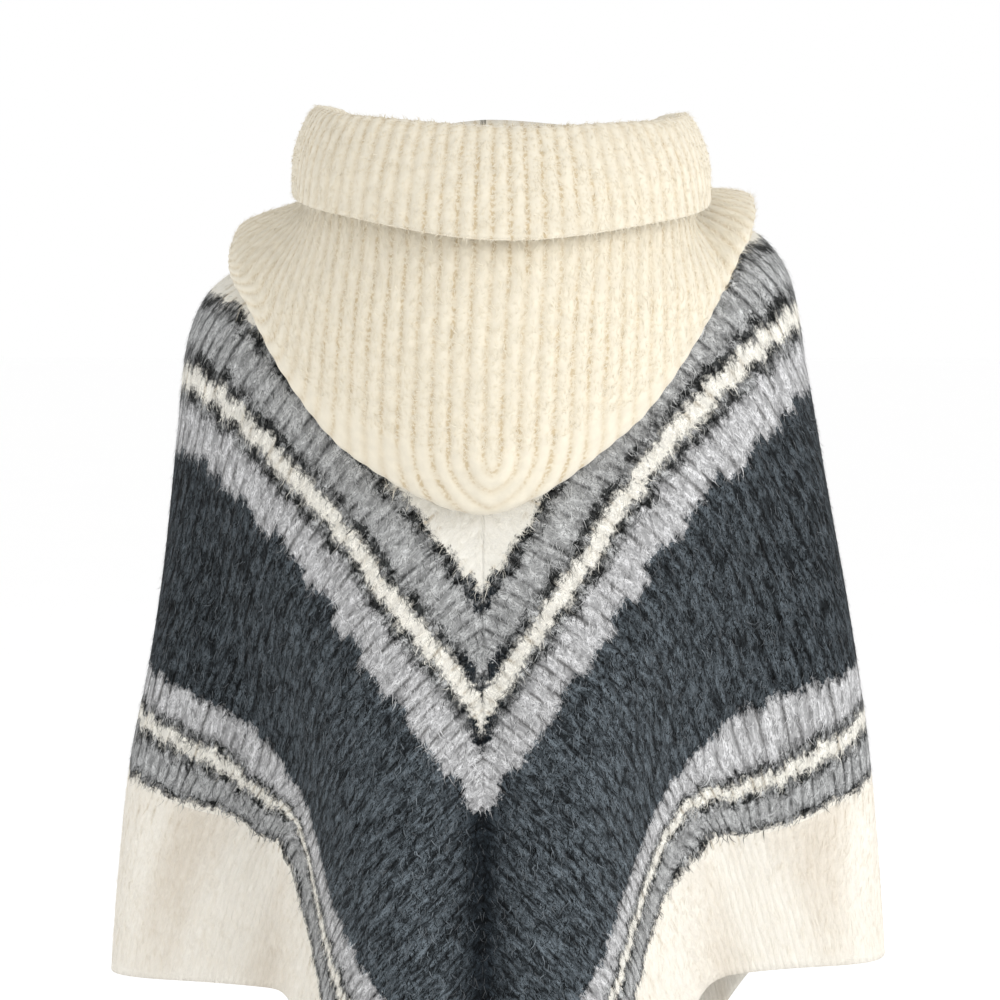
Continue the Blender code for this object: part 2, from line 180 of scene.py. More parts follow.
# Radius where the hood's underside starts, by angle in degrees
UNDERSIDE_START = ((0, 60, 90, 120, 180), (0.250, 0.215, 0.185, 0.195, 0.228))

# Fold of the band round the opening: step up the hood's face and inward from it, in mm
BAND_FOLD = ((-16, 0.6), (-1, 2.5), (5, -3), (-4, -9))
BAND_STAND = 8.0 * MM

# Crown of the hood, where its ribs turn round a small dome near the lowest point
NUB_Z = -0.142
NUB_RADIUS = 15.0 * MM
NUB_HEIGHT = 4.0 * MM
CROWN_RISE = 0.30
CROWN_BLEND = 8.0 * MM
CROWN_PLACE = 5
RIB_POWER = 1.5

# Slack of the hood's right corner, that hangs below its solid
EAR_DROP = 7.0 * MM
EAR_FROM = 0.150
EAR_SPAN = 0.045
EAR_PLACE = 8

# Grids, columns by rows, and how the sections of the hood and band are read: their last
# point, the point after which they shift to the right, and the face's share of rows
PANEL_GRID = (240, 100)
HOOD_GRID = (480, 96)
BAND_GRID = (400, 36)
HOOD_LOFT = {"last_place": 11, "shifted_from": 7.0, "face_share": 3.0}
BAND_LOFT = {"last_place": 5, "shifted_from": -3.0}
BARE_HEM_ROWS = 3

# Brushed nap: share of the set fibre length, width, and in radians the lift from the
# cloth, the spread of directions and the curl
PANEL_NAP = {"length": 1.0, "width": 0.46 * MM, "lift": 0.20, "spread": 0.42, "curl": 0.8}
HOOD_NAP = {"length": 0.7, "width": 0.45 * MM, "lift": 0.26, "spread": 0.7, "curl": 0.8}
FIBRE_CORNERS = 5
ROOT_DEPTH = 0.4 * MM

# Camera, from the photo's framing
CAMERA_DISTANCE = 2.2
CAMERA_TILT = np.radians(4)
FRAME_WIDTH = 0.745
FRAME_CENTRE = (0.012, -0.180)
SENSOR = 36.0

# Lights: place, size and the setting of their power
LIGHTS = (("key_light", (2.4, -1.9, 0.9), 1.8, "key_power"),
          ("fill_light", (-2.2, -1.6, 0.7), 1.8, "fill_power"),
          ("front_light", (0.4, 2.6, 1.2), 2.0, "fill_power"))
LIGHT_AIM = (0, 0, -0.3)
FLOOR_RADIUS = 40
FLOOR_GAP = 4.0 * MM


def linear(red, green, blue):
    """Linear colour of an sRGB colour given from 0 to 255."""
    values = np.array((red, green, blue)) / 255
    return tuple(np.where(values <= 0.04045, values / 12.92,
                          ((values + 0.055) / 1.055) ** 2.4).tolist())


# Materials: lengths and colours that their node groups share
HAIR_PITCH = 1.6 * MM
HAIR_REACH = 4.6 * MM
SOFT_EDGE = 1.8
# Painted shade in the gaps between the panels' ribs, in the pale bands
PALE_GAP_SHADE = linear(196, 182, 158) + (1.0,)
# Painted shade of the soft troughs in the hem band
HEM_TROUGH_SHADE = linear(216, 203, 184) + (1.0,)
PANEL_SHEEN = 0.03
CREAM_SHEEN = 0.25


# Grids of points

def length_along(grid, axis):
    """Length from the first row or column to each point of a grid."""
    steps = np.linalg.norm(np.diff(grid, axis=axis), axis=2)
    start = np.zeros_like(np.take(steps, [0], axis=axis))
    return np.concatenate([start, np.cumsum(steps, axis=axis)], axis=axis)


def face_normals(grid, outward):
    """Unit normals of a grid of points, turned to the given side of its middle."""
    normal = np.cross(np.gradient(grid, axis=0), np.gradient(grid, axis=1))
    normal /= np.maximum(np.linalg.norm(normal, axis=2, keepdims=True), 1e-12)
    row, column, direction = outward
    return normal if np.dot(normal[row, column], direction) > 0 else -normal


# Drape of the panels

def monotone(xs, ys, x):
    """Shape-keeping cubic through the points (xs, ys), straight beyond the ends."""
    xs, ys, x = (np.asarray(v, float) for v in (xs, ys, x))
    step, rise = np.diff(xs), np.diff(ys)
    slope = rise / step
    tangent = np.zeros(len(xs))
    inner = slope[:-1] * slope[1:] > 0
    before, after = 2 * step[1:] + step[:-1], step[1:] + 2 * step[:-1]
    with np.errstate(divide="ignore", invalid="ignore"):
        mean = (before + after) / (before / slope[:-1] + after / slope[1:])
    tangent[1:-1] = np.where(inner, mean, 0.0)
    tangent[0], tangent[-1] = slope[0], slope[-1]
    i = np.clip(np.searchsorted(xs, x) - 1, 0, len(step) - 1)
    t = (x - xs[i]) / step[i]
    inside = np.clip(t, 0, 1)
    h = step[i]
    found = (ys[i] * (1 + 2 * inside) * (1 - inside) ** 2
             + ys[i + 1] * inside ** 2 * (3 - 2 * inside)
             + tangent[i] * h * inside * (1 - inside) ** 2
             + tangent[i + 1] * h * inside ** 2 * (inside - 1))
    return found + (t - inside) * h * np.where(t > 1, tangent[i + 1], tangent[i])


def ring_value(name, radius):
    """Value of one column of the rings at any radius."""
    return monotone(RINGS[:, 0], RINGS[:, RING_COLUMNS.index(name)], radius)


def eased(level):
    """Rises from 0 to 1 where the level passes 0."""
    return 1 / (1 + np.exp(-level / SIDE_BLEND))


def bell(turn, spread):
    """Smooth bump of height 1 about a turn of 0."""
    return np.exp(-(turn / spread) ** 2)


def oval(sine, cosine, reach, depth, power):
    """Reach of an oval in the direction of an angle."""
    return (np.abs(sine / reach) ** power + np.abs(cosine / depth) ** power) ** (-1 / power)


def body_point(angle, radius):
    """Point of the cloth's outer face; angle is 0 at centre back, positive to +X."""
    angle, radius = np.broadcast_arrays(np.asarray(angle, float), np.asarray(radius, float))
    sine, cosine = np.sin(angle), np.cos(angle)
    back = cosine > 0
    reach = np.where(sine > 0, ring_value("right_reach", radius),
                     ring_value("left_reach", radius))
    depth = np.where(back, ring_value("back_reach", radius), ring_value("front_reach", radius))
    level = np.where(back, ring_value("back_z", radius), ring_value("front_z", radius))
    plain = oval(sine, cosine, reach, depth, OVAL_POWER)
    fluted = np.zeros_like(plain)
    to_right, to_back = eased(sine), eased(cosine)
    for side, share in (("right", to_right), ("left", 1 - to_right)):
        half_width, half_depth, sharpness = FLUTES[side]
        middle = oval(sine, cosine, half_width, depth, MIDDLE_POWER)
        wing = oval(sine, cosine, reach, half_depth, SIDE_POWER)
        fluted += share * (middle ** sharpness + wing ** sharpness) ** (1 / sharpness)
    fold = ring_value("fold", radius)
    from_centre = np.abs(np.arctan2(sine, np.abs(cosine)))
    valley = (SEAM_VALLEY * bell(from_centre, SEAM_VALLEY_SPREAD)
              + WING_VALLEY * bell(from_centre - WING_VALLEY_ANGLE, WING_VALLEY_SPREAD))
    out = plain * (1 - fold) + fluted * fold - valley * fold
    sideways = np.abs(sine) ** SHOULDER_POWER
    x = out * sine
    z = ring_value("side_z", radius) * sideways + level * (1 - sideways)
    z = z + ring_value("lean", radius) * x
    low = np.interp(radius, HEM_RISE_RADII, (0, 1))
    front = to_right * HEM_RISES["right front"] + (1 - to_right) * HEM_RISES["left front"]
    rise = to_back * HEM_RISES["back"] + (1 - to_back) * front
    z = z + rise * low * bell(from_centre - HEM_RISE_ANGLE, HEM_RISE_SPREAD)
    return np.stack([x, -out * cosine, z], axis=-1)


class Drape:
    """Lays one panel's cloth round the rings by length along them."""

    def __init__(self, side):
        self.sign = 1 if side == "right" else -1
        self.turn = side + "_turn"
        self.lengths = length_along(
            body_point(self.sign * TABLED_ANGLES[None, :], TABLED_RADII[:, None]), 1)

    def angle_on_ring(self, row, psi, turn):
        """Ring angle for cone angle psi, which is -PSI_END at centre back."""
        lengths, radius = self.lengths[row], TABLED_RADII[row]
        to_side, whole = lengths[len(lengths) // 2], lengths[-1]
        flat_back, flat_front = PSI_END - turn, PSI_END + turn
        from_back = np.clip((PSI_END + psi) / flat_back, 0, 1)
        from_front = np.clip((PSI_END - psi) / flat_front, 0, 1)
        ease_back = np.maximum(0, TAKEN_UP * radius * flat_back / to_side - 1)
        ease_front = np.maximum(0, TAKEN_UP * radius * flat_front / (whole - to_side) - 1)
        along_back = to_side * (from_back + ease_back * from_back * (1 - from_back) ** 2)
        along_front = whole - (whole - to_side) * (
            from_front + ease_front * from_front * (1 - from_front) ** 2)
        along = np.where(psi <= -turn, along_back, along_front)
        return np.interp(along, lengths, TABLED_ANGLES)

    def angle(self, psi, radius):
        """Ring angle, blended between the two tabled rings next to the radius."""
        place = (radius - TABLED_RADII[0]) / (TABLED_RADII[1] - TABLED_RADII[0])
        low = np.clip(place.astype(int), 0, len(TABLED_RADII) - 2)
        turn = np.radians(ring_value(self.turn, radius))
        angle = np.zeros_like(radius)
        for row in np.unique(low):
            here = low == row
            share = (place - low)[here]
            angle[here] = ((1 - share) * self.angle_on_ring(row, psi[here], turn[here])
                           + share * self.angle_on_ring(row + 1, psi[here], turn[here]))
        return self.sign * angle

    def cloth(self, depth, along):
        """Outer face at depth w below the neck edge, along = -1 back to +1 front."""
        across = along * (NECK_HALF + depth / np.tan(MITRE))
        radius = np.hypot(across, depth + CONE)
        psi = np.arctan2(across, depth + CONE)
        return body_point(self.angle(psi, radius), radius)


def stripe_depth(side, along, depth):
    """Depth on the cut of the knit that lies at each place of the draped cloth."""
    pull = {line: np.interp(along, *np.array(table).T)
            for line, table in STRIPE_PULL[side].items()}
    lines = ((0, 0 * along), (BAND_ENDS[0], pull["upper"]), (BAND_ENDS[6], pull["upper"]),
             (BAND_ENDS[7], pull["top"]), (BAND_ENDS[13], pull["bottom"]),
             (BAND_ENDS[14], 0 * along))
    found = np.zeros_like(depth)
    for (cut_from, pull_from), (cut_to, pull_to) in zip(lines[:-1], lines[1:]):
        start, end = (cut_from - pull_from) * MM, (cut_to - pull_to) * MM
        share = np.clip((depth - start) / (end - start), 0, 1)
        found += share * (cut_to - cut_from) * MM
    return found


def panel_points(side, columns, rows):
    """Outer face of a panel and the place of each point on its flat cut."""
    drape = Drape(side)
    along, depth = np.meshgrid(np.linspace(-1, 1, columns + 1),
                               np.linspace(0, PANEL_DEPTH, rows + 1))
    points = drape.cloth(depth, along)
    points[:, (0, -1), 0] = 0.0
    across = along * (NECK_HALF + depth / np.tan(MITRE))
    return points, np.stack([across, stripe_depth(side, along, depth)], axis=-1)


# Sections of the hood

def panel_neck_edge(side):
    """Corner points of one panel's neck edge, as the part's source has them."""
    drape = Drape(side)
    edge = drape.cloth(np.zeros(NECK_POINTS), np.linspace(-1, 1, NECK_POINTS))
    edge[(0, -1), 0] = drape.sign * SEAM_HALF_GAP
    return edge


NECK_EDGES = {side: panel_neck_edge(side) for side in ("left", "right")}


def neck_edge(angle):
    """Reach and height where the plane at this angle crosses the body's neck edge."""
    edge = NECK_EDGES["right" if angle > 0 else "left"]
    turn = np.abs(np.arctan2(edge[:, 0], -edge[:, 1]))
    k = int(np.clip(np.searchsorted(turn, abs(angle)) - 1, 0, len(edge) - 2))
    a, b = edge[k], edge[k + 1]
    across = np.array([np.cos(angle), np.sin(angle), 0])
    share = np.clip(np.dot(a, across) / np.dot(a - b, across), 0, 1)
    x, y, z = a + share * (b - a)
    return np.hypot(x, y), z


def hood_value(name, angle):
    """Table value at this angle; the mirrored rows keep it smooth at back and front."""
    angles = np.concatenate([[-30.0], HOOD_SECTIONS[:, 0], [210.0]])
    values = HOOD_SECTIONS[:, HOOD_COLUMNS.index(name)]
    values = np.concatenate([[values[1]], values, [values[-2]]])
    return float(monotone(angles, values, np.degrees(abs(angle))))


def hood_point(name, lean, angle):
    """Reach and height of one named point of the section, raised by the lean to +X."""
    reach = hood_value(name + "_reach", angle)
    return np.array([reach, hood_value(name + "_z", angle) + lean * reach * np.sin(angle)])


def body_profile(angle, radii, offset):
    """The body's outer face in the plane at this angle, lifted along its normal."""
    points = body_point(np.full(len(radii), angle), radii)
    profile = np.stack([np.hypot(points[:, 0], points[:, 1]), points[:, 2]], axis=1)
    along = np.gradient(profile, axis=0)
    along /= np.linalg.norm(along, axis=1, keepdims=True)
    return profile + offset * np.stack([-along[:, 1], along[:, 0]], axis=1)


def smooth_path(points, places):
    """Rounded path through points, read at places counted in points from the first."""
    points = np.asarray(points, float)
    padded = np.vstack([2 * points[0] - points[1], points, 2 * points[-1] - points[-2]])
    knots = np.concatenate([[0], np.cumsum(np.sqrt(
        np.linalg.norm(np.diff(padded, axis=0), axis=1)))])
    path = []
    for place in places:
        k = min(int(place), len(points) - 2)
        t = place - k
        a, b, c, d = padded[k:k + 4]
        before, span, after = np.diff(knots[k:k + 4])
        start = ((b - a) / before - (c - a) / (before + span)) * span + (c - b)
        end = ((d - c) / after - (d - b) / (span + after)) * span + (c - b)
        path.append(b * (2 * t ** 3 - 3 * t ** 2 + 1) + start * (t ** 3 - 2 * t ** 2 + t)
                    + c * (3 * t ** 2 - 2 * t ** 3) + end * (t ** 3 - t ** 2))
    return np.array(path)


def hood_layout(angle):
    """Named points of the hood's section in the plane at this angle."""
    first = float(np.interp(abs(np.degrees(angle)), *UNDERSIDE_START))
    under = body_profile(angle, np.linspace(first, hood_value("tip", angle), 4),
                         UNDERSIDE_GAP + WALL)
    outward = under[-1] - under[-2]
    outward /= np.linalg.norm(outward)
    normal = np.array([-outward[1], outward[0]])
    tip_radius = TIP_RADIUS - SIDE_TIP_CUT * np.sin(angle) ** 2
    turn = under[-1] + (outward + normal) * tip_radius
    belly = hood_point("belly", BELLY_LEAN, angle)
    belly[0] = max(belly[0], turn[0] + BELLY_OVERHANG)
    belly[1] = max(belly[1], turn[1] + tip_radius)
    mouth = hood_point("mouth", BRIM_LEAN, angle)
    low = hood_point("brim_low", BRIM_LEAN, angle)
    waist = low - (WAIST_STEP, BRIM_STAND)
    waist[1] = max(waist[1], np.interp(waist[0], under[:, 0], under[:, 1]) + WALL)
    low[1] = max(low[1], waist[1] + BRIM_STAND)
    rise = (mouth - waist) / np.linalg.norm(mouth - waist)
    return {"under": under, "turn": turn, "belly": belly, "waist": waist, "mouth": mouth,
            "low": low, "rise": rise}


def hood_section(angle, places):
    """Inner face of the hood: neck edge, nape fold, underside, tip, face, mouth."""
    reach, z = neck_edge(angle)
    at = hood_layout(angle)
    nape = np.array([reach + NAPE_WIDTH / 2,
                     hood_value("nape_z", angle) + NAPE_LEAN * reach * np.sin(angle)])
    points = [(reach, z + NECK_SEAM), (reach, nape[1] - NAPE_SHOULDER), nape,
              (reach + NAPE_WIDTH, nape[1] - NAPE_SHOULDER), *at["under"], at["turn"],
              at["belly"], at["waist"], at["mouth"] - at["rise"] * MOUTH_CUT]
    return smooth_path(points, places)


def band_section(angle, places):
    """Inner face of the turned-back band: inside lip, top fold, free lower edge."""
    at = hood_layout(angle)
    mouth, low, rise = at["mouth"], at["low"], at["rise"]
    inward = np.array([-rise[1], rise[0]])
    points = [mouth + rise * up * MM + inward * step * MM for up, step in BAND_FOLD]
    points += [(mouth + low) / 2 - inward * BAND_STAND, low]
    return smooth_path(points, places)


def even_angles(end, columns):
    """Angles of the columns, at even lengths round the band's free edge."""
    fine = np.linspace(-end, end, 721)
    reach = np.array([hood_value("brim_low_reach", angle) for angle in fine])
    x, y = reach * np.sin(fine), reach * np.cos(fine)
    length = np.concatenate([[0], np.cumsum(np.hypot(np.diff(x), np.diff(y)))])
    return np.interp(np.linspace(0, length[-1], columns + 1), length, fine)


def loft(section, end, columns, rows, last_place, shifted_from, face_share=1.0):
    """Grid of a section carried round the neck; face_share above 1 puts more rows on the face."""
    angles = even_angles(end, columns)
    fine = np.linspace(0, last_place, 8 * rows + 1)
    middle = section(0.0, fine)
    steps = np.linalg.norm(np.diff(middle, axis=0), axis=1)
    steps = steps * np.where(fine[1:] > FIRST_PLACE_OF_FACE - 1, face_share, 1.0)
    length = np.concatenate([[0], np.cumsum(steps)])
    places = np.interp(np.linspace(0, length[-1], rows + 1), length, fine)
    shift = HOOD_SHIFT * np.clip((places - shifted_from) / 3, 0, 1)
    grid = np.zeros((len(places), len(angles), 3))
    for c, angle in enumerate(angles):
        path = section(angle, places)
        grid[:, c, 0] = path[:, 0] * np.sin(angle) + shift
        grid[:, c, 1] = -path[:, 0] * np.cos(angle)
        grid[:, c, 2] = path[:, 1]
    return grid, places


def rib_profile(phase):
    """Height from 0 to 1 of round ribs whose crests are at whole numbers."""
    return 1 - (0.5 - 0.5 * np.cos(2 * np.pi * phase)) ** RIB_POWER


def facing_back(grid):
    """Row, column and outward direction of a point in the middle of the back."""
    return len(grid) - 4, grid.shape[1] // 2, (0, -1, 0)


def from_middle(grid):
    """Level length along each row from the middle column."""
    across = length_along(grid * (1, 1, 0), 1)
    middle = grid.shape[1] // 2
    return np.abs(across - across[:, middle:middle + 1])


def hood_surfaces(pitch, rib_height):
    """Outer faces of the hood and its band with their place across ribs and along them."""
    band, band_places = loft(band_section, BRIM_END, *BAND_GRID, **BAND_LOFT)
    band_across = np.broadcast_to(from_middle(band[-1:]), band.shape[:2])
    band_out = np.clip(band_places - 1.0, 0, 1)[:, None]

    hood, places = loft(hood_section, HOOD_END, *HOOD_GRID, **HOOD_LOFT)
    slack = np.clip((hood[..., 0] - EAR_FROM) / EAR_SPAN, 0, 1) ** 2
    hood[..., 2] -= EAR_DROP * slack * np.clip(places - EAR_PLACE, 0, 1)[:, None]
    across = from_middle(hood)
    above_nub = hood[..., 2] - NUB_Z
    below = CROWN_RISE * across - above_nub
    below = 0.5 * (below + np.hypot(below, CROWN_BLEND)) * (places[:, None] > CROWN_PLACE)
    hood_across = np.hypot(across, below)
    hood_out = np.clip(places - FIRST_PLACE_OF_FACE, 0, 1)[:, None]
    dome = NUB_HEIGHT * np.exp(-(np.hypot(across, above_nub) / NUB_RADIUS) ** 2) * hood_out

    made = []
    for grid, place, out, rise in ((hood, hood_across, hood_out, dome),
                                   (band, band_across, band_out, 0 * band_across)):
        normal = face_normals(grid, facing_back(grid))
        rise = rise + WALL + rib_height * rib_profile(place / pitch) * out
        outer = grid + normal * rise[..., None]
        made.append((outer, np.stack([place, length_along(outer, 0)], axis=-1)))
    return made


# Meshes

def clear_selection():
    """Object mode with nothing selected."""
    if bpy.context.object and bpy.context.object.mode != "OBJECT":
        bpy.ops.object.mode_set(mode="OBJECT")
    bpy.ops.object.select_all(action="DESELECT")


def set_map(mesh, layer, places):
    """Fills a UV map from the places of the vertices."""
    corner = np.zeros(len(mesh.loops), np.int32)
    mesh.loops.foreach_get("vertex_index", corner)
    layer.data.foreach_set("uv", places[corner].reshape(-1).astype(np.float32))


def cloth_piece(name, points, cut, outward):
    """A grid laid flat at first, whose points then take the shape of the draped cloth."""
    rows, columns = points.shape[0] - 1, points.shape[1] - 1
    normal = np.cross(np.gradient(points, axis=1), np.gradient(points, axis=0))
    row, column, direction = outward
    if np.dot(normal[row, column], direction) < 0:
        points, cut = points[::-1], cut[::-1]
    clear_selection()
    bpy.ops.mesh.primitive_grid_add(x_subdivisions=columns, y_subdivisions=rows, size=1)
    piece = bpy.context.object
    piece.name = piece.data.name = name
    mesh = piece.data
    mesh.vertices.foreach_set("co", points.reshape(-1).astype(np.float32))
    mesh.uv_layers[0].name = "Cut"
    set_map(mesh, mesh.uv_layers[0], cut.reshape(-1, 2))
    mesh.update()
    mesh.shade_smooth()
    return piece


def thicken(piece, thickness):
    """Gives the cloth its wall, inward from the face that shows."""
    wall = piece.modifiers.new("Wall", "SOLIDIFY")
    wall.thickness = thickness
    wall.offset = -1
    wall.use_quality_normals = True
    clear_selection()
    piece.select_set(True)
    bpy.context.view_layer.objects.active = piece
    bpy.ops.object.modifier_apply(modifier=wall.name)


def fibre_piece(name, points, cut, outward, weight, count, seed, mean_length, looks):
    """Joined thin curved blades, brushed down the rows of the cloth's outer face."""
    random = np.random.default_rng(seed)
    normal = face_normals(points, outward)
    brushed = np.gradient(points, axis=0)
    corner = points[:-1, :-1]
    area = np.linalg.norm(np.cross(points[1:, :-1] - corner, points[:-1, 1:] - corner), axis=2)
    area = area * weight[:-1, :-1]
    cell = random.choice(area.size, count, p=(area / area.sum()).reshape(-1))
    row, column = np.unravel_index(cell, area.shape)
    u, v = random.random((2, count))[..., None]

    def at(field):
        return ((1 - u) * (1 - v) * field[row, column] + u * (1 - v) * field[row + 1, column]
                + (1 - u) * v * field[row, column + 1] + u * v * field[row + 1, column + 1])

    root, up, way, place = at(points), at(normal), at(brushed), at(cut)
    way = way - up * np.sum(way * up, axis=1, keepdims=True)
    way /= np.maximum(np.linalg.norm(way, axis=1, keepdims=True), 1e-9)
    aside = np.cross(up, way)
    turn = random.normal(0, looks["spread"], (count, 1))
    lift = np.abs(random.normal(looks["lift"], 0.5 * looks["lift"], (count, 1)))
    flat = np.cos(turn) * way + np.sin(turn) * aside
    length = looks["length"] * mean_length * random.uniform(0.5, 1.5, (count, 1))
    half = 0.5 * looks["width"] * random.uniform(0.6, 1.4, (count, 1))
    curl = random.normal(0, looks["curl"], (count, 1))
    side = np.cross(up, flat)
    bent = np.cos(curl) * flat + np.sin(curl) * side
    root = root - up * ROOT_DEPTH
    middle = root + length / 2 * (np.cos(lift) * flat + np.sin(lift) * up)
    tip = middle + length / 2 * (np.cos(0.4 * lift) * bent + np.sin(0.4 * lift) * up)
    corners = np.stack([root - side * half, root + side * half, middle + side * 0.8 * half,
                        middle - side * 0.8 * half, tip], axis=1)
    first = FIBRE_CORNERS * np.arange(count)[:, None]
    faces = [tuple(face) for face in first + (0, 1, 2, 3)]
    faces += [tuple(face) for face in first + (3, 2, 4)]
    mesh = bpy.data.meshes.new(name)
    mesh.from_pydata(corners.reshape(-1, 3), [], faces)
    tone = random.random(count)
    tones = np.stack([tone, 0 * tone], axis=1)
    for layer in ("Cut", "Tone"):
        mesh.uv_layers.new(name=layer)
    for layer, places in (("Cut", place), ("Tone", tones)):
        set_map(mesh, mesh.uv_layers[layer], np.repeat(places, FIBRE_CORNERS, axis=0))
    mesh.update()
    piece = bpy.data.objects.new(name, mesh)
    bpy.context.scene.collection.objects.link(piece)
    return piece


# Materials

def feed(tree, socket, entry):
    """Gives a socket a value or another node's output."""
    if isinstance(entry, bpy.types.NodeSocket):
        tree.links.new(entry, socket)
    else:
        socket.default_value = entry


def node(tree, kind, label, inputs=None, **settings):
    """Adds one node; inputs holds what feeds each of its sockets."""
    made = tree.nodes.new("ShaderNode" + kind)
    made.label = label
    for name, setting in settings.items():
        setattr(made, name, setting)
    for socket, entry in (inputs or {}).items():
        feed(tree, made.inputs[socket], entry)
    return made


def value(tree, label, operation, *inputs, clamp=False):
    """Output of a Math node."""
    return node(tree, "Math", label, dict(enumerate(inputs)), operation=operation,
                use_clamp=clamp).outputs[0]


def ranged(tree, label, entry, low, high, start=0.0, end=1.0):
    """Output of a Map Range node that goes from start at low to end at high."""
    return node(tree, "MapRange", label,
                {"Value": entry, 1: low, 2: high, 3: start, 4: end}).outputs[0]


def point(tree, label, *parts):
    """Output of a Combine XYZ node."""
    return node(tree, "CombineXYZ", label, dict(enumerate(parts))).outputs[0]


def noise(tree, label, place, scale, detail, roughness=0.5, distortion=0.0):
    """Level of a Noise Texture, from 0 to 1."""
    return node(tree, "TexNoise", label, {
        "Vector": place, "Scale": scale, "Detail": detail, "Roughness": roughness,
        "Distortion": distortion}).outputs[0]


def between(tree, label, share, first, second):
    """Output of a Mix node for two levels."""
    return node(tree, "Mix", label, {0: share, 2: first, 3: second}).outputs[0]


def mixed(tree, label, share, first, second, blend="MIX"):
    """Output of a Mix node for two colours."""
    return node(tree, "Mix", label, {0: share, 6: first, 7: second}, data_type="RGBA",
                blend_type=blend).outputs[2]


def toned(tree, colour, tone):
    """Colour multiplied by a level."""
    grey = node(tree, "CombineColor", "Tone as colour", {0: tone, 1: tone, 2: tone}).outputs[0]
    return mixed(tree, "Toned", 1.0, colour, grey, "MULTIPLY")


def ramp(tree, label, factor, stops):
    """Color Ramp node whose stops are place and colour pairs."""
    made = node(tree, "ValToRGB", label, {0: factor})
    elements = made.color_ramp.elements
    while len(elements) > 1:
        elements.remove(elements[-1])
    elements[0].position, elements[0].color = stops[0]
    for place, colour in stops[1:]:
        elements.new(place).color = colour
    return made


def new_group(name, inputs, outputs):
    """Empty node group with named sockets; the one named Color is a colour."""
    tree = bpy.data.node_groups.new(name, "ShaderNodeTree")
    for way, labels in (("INPUT", inputs), ("OUTPUT", outputs)):
        for label in labels:
            kind = "NodeSocketColor" if label == "Color" else "NodeSocketFloat"
            tree.interface.new_socket(label, in_out=way, socket_type=kind)
    entry = tree.nodes.new("NodeGroupInput")
    result = tree.nodes.new("NodeGroupOutput")
    return tree, entry.outputs, result.inputs


def hand_out(tree, result, **outputs):
    """Links the outputs of a group by their names."""
    for name, output in outputs.items():
        tree.links.new(output, result[name])


def use_group(tree, name, **inputs):
    """Outputs of a group node that is fed by the names of its inputs."""
    made = tree.nodes.new("ShaderNodeGroup")
    made.node_tree = bpy.data.node_groups[name]
    made.label = name
    for socket, entry in inputs.items():
        feed(tree, made.inputs[socket], entry)
    return made.outputs


def hairs_group():
    """Curly hairs drawn out along the nap, in tufts: 0 between them and 1 on their crests."""
    tree, entry, result = new_group("Brushed hairs", ("Across", "Depth"), ("Hair",))
    across = value(tree, "Hairs across", "DIVIDE", entry["Across"], HAIR_PITCH)
    depth = value(tree, "Hairs along", "DIVIDE", entry["Depth"], HAIR_REACH)
    slanted = value(tree, "Slanted", "MULTIPLY_ADD", depth, 0.8, across)
    lines = []
    for label, level, scale in (("Straight hairs", across, 1.0), ("Slanted hairs", slanted, 1.3)):
        place = point(tree, label, level, depth, scale)
        off = value(tree, "Centred", "SUBTRACT", noise(tree, label, place, scale, 2, 0.6, 1.2), 0.5)
        off = value(tree, "Off crest", "ABSOLUTE", off)
        lines.append(ranged(tree, "Crests", off, 0.01, 0.09, 1.0, 0.0))
    crests = value(tree, "All crests", "MAXIMUM", *lines)
    tufts = noise(tree, "Tufts", point(tree, "Tuft place", across, depth), 0.35, 4, 0.65, 0.8)
    tufts = ranged(tree, "Tuft strength", tufts, 0.38, 0.62, 0.10, 1.0)
    hand_out(tree, result, Hair=value(tree, "Hair", "MULTIPLY", crests, tufts))


def ribs_group():
    """Rib height, the gap between ribs and the rib's number, from the place across."""
    tree, entry, result = new_group("Knit ribs", ("Across", "Depth", "Pitch", "Waver"),
                                    ("Height", "Gap", "Rib", "Open"))
    phase = value(tree, "Ribs", "DIVIDE", entry["Across"], entry["Pitch"])
    along = value(tree, "Along", "MULTIPLY", entry["Depth"], 45.0)
    waver = noise(tree, "Uneven knit", point(tree, "Waver place", phase, along), 0.8, 3)
    off = value(tree, "Centred", "SUBTRACT", waver, 0.5)
    phase = value(tree, "Wavered ribs", "MULTIPLY_ADD", off, entry["Waver"], phase)
    wave = value(tree, "Wave", "COSINE", value(tree, "Turn", "MULTIPLY", phase, 2 * np.pi))
    valley = value(tree, "Valley", "MULTIPLY_ADD", wave, -0.5, 0.5)
    deep = value(tree, "Deep", "POWER", valley, 1.6)
    place = point(tree, "Gap place", value(tree, "Gap number", "FLOOR", phase), along)
    hand_out(tree, result, Height=value(tree, "Height", "SUBTRACT", 1.0, deep),
             Gap=value(tree, "Gap", "POWER", valley, 5.0),
             Rib=value(tree, "Rib number", "ROUND", phase),
             Open=noise(tree, "Broken gaps", place, 1.1, 4, 0.65))


def stripe_stops(colours, first, last):
    """Ramp stops of the bands from first to last, soft at their edges; alpha marks lines."""
    stops, place = [], 0.0
    whole = sum(width for name, width in BANDS[first:last + 1])
    for name, width in BANDS[first:last + 1]:
        colour = colours[name][:3] + (float(name == "black"),)
        stops += [((place + (SOFT_EDGE if place else 0)) / whole, colour),
                  ((place + width - SOFT_EDGE) / whole, colour)]
        place += width
    return stops[:-1], whole * MM


